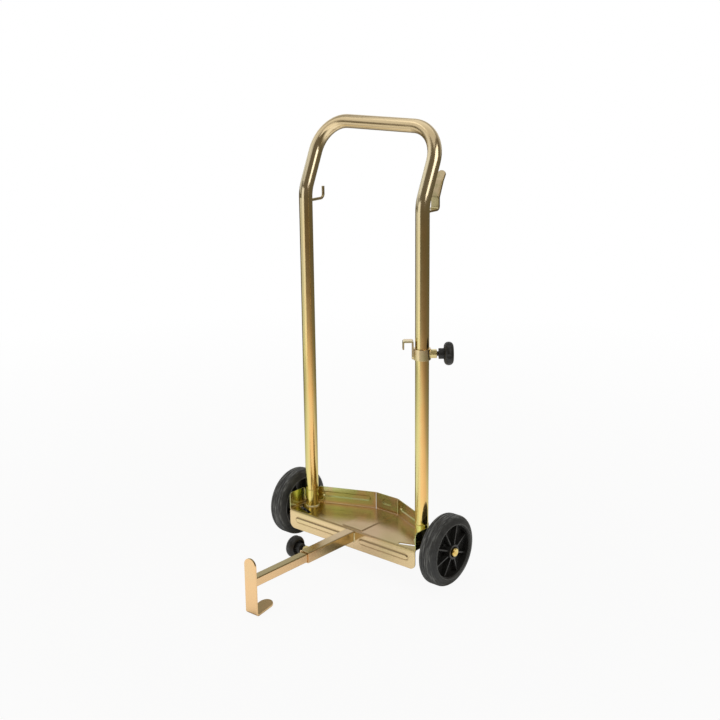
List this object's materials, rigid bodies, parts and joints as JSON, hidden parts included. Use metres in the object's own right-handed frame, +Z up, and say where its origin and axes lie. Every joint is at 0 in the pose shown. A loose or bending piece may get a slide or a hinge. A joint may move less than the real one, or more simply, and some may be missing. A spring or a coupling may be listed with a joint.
{
  "type": "drum trolley",
  "caption": "Upright two-wheel drum trolley with a bent tube handle, folded tray, sliding front foot, drum rim clamp with star knob and hose hooks.",
  "frame": {"origin": "on the ground under the middle of the outline, halfway between the wheels' backs and the front of the foot", "axes": "+X along the axle to the right upright with the drum clamp, +Y back towards the person who pushes, +Z up"},
  "size_m": [0.5006, 0.4605, 1],
  "materials": {
    "zinc": "yellow zinc passivated, glossy with a faint pink and green cast",
    "tyre": "matt dark grey solid rubber",
    "hub_plastic": "black moulded plastic, semi-gloss",
    "bush_plastic": "black nylon",
    "stud_steel": "blackened steel, satin",
    "knob_plastic": "black moulded plastic, satin"
  },
  "bodies": {
    "chassis": {"handle_tube": "zinc", "left_stub": "zinc", "right_stub": "zinc", "base_plate": "zinc", "arm_socket": "zinc", "socket_nut": "zinc", "axle": "zinc", "axle_washers": "zinc", "rod_hook": "zinc", "strip_hook": "zinc", "left_axle_cap": "zinc", "right_axle_cap": "zinc", "left_spacer": "zinc", "right_spacer": "zinc", "left_axle_bracket": "zinc", "right_axle_bracket": "zinc"},
    "left_wheel": {"left_tyre": "tyre", "left_hub": "hub_plastic", "left_bush": "bush_plastic"},
    "right_wheel": {"right_tyre": "tyre", "right_hub": "hub_plastic", "right_bush": "bush_plastic"},
    "foot": {"foot_tube": "zinc", "foot_plate": "zinc"},
    "foot_lock_stud": {"foot_stud": "stud_steel"},
    "foot_lock_knob": {"foot_knob": "knob_plastic"},
    "clamp": {"clamp_collar": "zinc", "clamp_nut": "zinc", "clamp_hook": "zinc"},
    "clamp_lock_stud": {"clamp_stud": "stud_steel"},
    "clamp_lock_knob": {"clamp_knob": "knob_plastic"}
  },
  "joints": [
    {"name": "left_wheel_spin", "type": "hinge", "parent": "chassis", "child": "left_wheel", "pos_m": [-0.223, 0.15025, 0.08], "axis": [1, 0, 0], "continuous": true},
    {"name": "right_wheel_spin", "type": "hinge", "parent": "chassis", "child": "right_wheel", "pos_m": [0.223, 0.15025, 0.08], "axis": [1, 0, 0], "continuous": true},
    {"name": "foot_slide", "type": "slide", "parent": "chassis", "child": "foot", "axis": [0, 1, 0], "range_m": [-0.012, 0.148]},
    {"name": "foot_screw_travel", "type": "slide", "parent": "chassis", "child": "foot_lock_stud", "axis": [-1, 0, 0], "range_m": [0, 0.0045]},
    {"name": "foot_knob_turn", "type": "hinge", "parent": "foot_lock_stud", "child": "foot_lock_knob", "pos_m": [-0.032, -0.03775, 0.0737], "axis": [-1, 0, 0], "range_deg": [0, 1080]},
    {"name": "clamp_slide", "type": "slide", "parent": "chassis", "child": "clamp", "axis": [0, 0, 1], "range_m": [-0.323, 0.282]},
    {"name": "clamp_screw_travel", "type": "slide", "parent": "clamp", "child": "clamp_lock_stud", "axis": [0.7547, 0.6561, 0], "range_m": [0, 0.0045]},
    {"name": "clamp_knob_turn", "type": "hinge", "parent": "clamp_lock_stud", "child": "clamp_lock_knob", "pos_m": [0.19042, 0.16171, 0.5172], "axis": [0.7547, 0.6561, 0], "range_deg": [0, 1080]}
  ],
  "couplings": [
    {"joint": "foot_screw_travel", "follows": "foot_knob_turn", "m_per_rad": 0.00023873},
    {"joint": "clamp_screw_travel", "follows": "clamp_knob_turn", "m_per_rad": 0.00023873}
  ]
}
